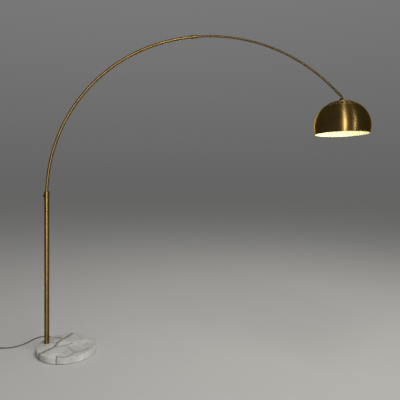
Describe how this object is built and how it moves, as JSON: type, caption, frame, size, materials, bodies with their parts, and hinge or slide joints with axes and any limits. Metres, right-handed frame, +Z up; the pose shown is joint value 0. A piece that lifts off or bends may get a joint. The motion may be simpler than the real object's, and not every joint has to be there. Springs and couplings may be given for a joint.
{
  "type": "arc floor lamp",
  "caption": "Arc floor lamp with a round marble base, an upright pole, a curved two-part brass arm and a domed metal shade that hangs out over the room.",
  "frame": {"origin": "centre of the base's underside, on the floor", "axes": "+Z up; +X is the way the arm reaches from the pole, over the base, to the shade; +Y points to the back, so the pictured side faces -Y"},
  "size_m": [2.693, 0.4114, 2.0736],
  "materials": {
    "marble": "gloss",
    "felt": "matte",
    "steel": "satin",
    "pole_brass": "satin",
    "arm_brass": "satin",
    "screw_brass": "satin",
    "shade_brass": "satin",
    "bronze": "satin",
    "nylon": "matte",
    "lead": "matte",
    "black_rubber": "matte",
    "cord": "satin",
    "tie": "satin",
    "black_plastic": "satin",
    "button_plastic": "satin",
    "spring_steel": "satin",
    "contact_brass": "gloss",
    "pin_metal": "gloss",
    "holder_plastic": "satin",
    "porcelain": "gloss",
    "bulb_metal": "satin",
    "bulb_insulator": "gloss",
    "bulb_glass": "matte"
  },
  "bodies": {
    "stand": {"marble_base": "marble", "base_pad": "felt", "pole_foot": "steel", "clamp_washer": "steel", "clamp_nut": "steel", "pole_tube": "pole_brass", "pole_collar": "pole_brass", "upper_bush": "nylon", "lower_bush": "nylon", "pole_lead": "lead", "cord_gland": "black_rubber", "mains_cord": "cord", "coil_cord": "cord", "plug_cord": "cord", "cord_coil": "cord", "coil_tie": "tie", "switch_base": "black_plastic", "switch_cover": "black_plastic", "switch_spring": "spring_steel", "switch_contacts": "contact_brass", "plug_body": "black_plastic", "plug_pins": "pin_metal"},
    "arm": {"lower_arc_tube": "arm_brass", "joint_spigot": "steel", "joint_ferrule": "arm_brass", "ferrule_screw": "steel", "upper_arc_tube": "arm_brass", "arm_end_fitting": "arm_brass", "arm_lead": "lead"},
    "thumb_screw": {"thumb_screw": "screw_brass"},
    "shade": {"shade_neck": "bronze", "swivel_pin": "bronze", "threaded_nipple": "contact_brass", "nipple_washer": "steel", "nipple_nut": "steel", "vent_cap": "shade_brass", "shade_dome": "shade_brass", "holder_cap": "holder_plastic", "holder_shell": "holder_plastic", "holder_core": "porcelain", "screw_shell": "contact_brass", "centre_contact": "contact_brass", "shade_lead": "lead", "bulb_cap": "bulb_metal", "bulb_contact": "bulb_insulator", "bulb_glass": "bulb_glass"},
    "switch_button": {"switch_button": "button_plastic"}
  },
  "joints": [
    {"name": "arm_swivel", "type": "hinge", "parent": "stand", "child": "arm", "pos_m": [-0.139, 0.024, 1], "axis": [0, 0, 1], "range_deg": [-75, 75]},
    {"name": "shade_tilt", "type": "hinge", "parent": "arm", "child": "shade", "pos_m": [1.807, 0.024, 1.667], "axis": [0, 1, 0], "range_deg": [-30, 30]},
    {"name": "thumb_screw_turn", "type": "hinge", "parent": "stand", "child": "thumb_screw", "pos_m": [-0.139, 0.024, 1.012], "axis": [-0.9397, 0.342, 0], "range_deg": [0, 180]},
    {"name": "switch_press", "type": "slide", "parent": "stand", "child": "switch_button", "axis": [0, 0, -1], "range_m": [0, 0.0025], "stiffness_N_per_m": 400, "deforming": ["switch_spring"]}
  ]
}
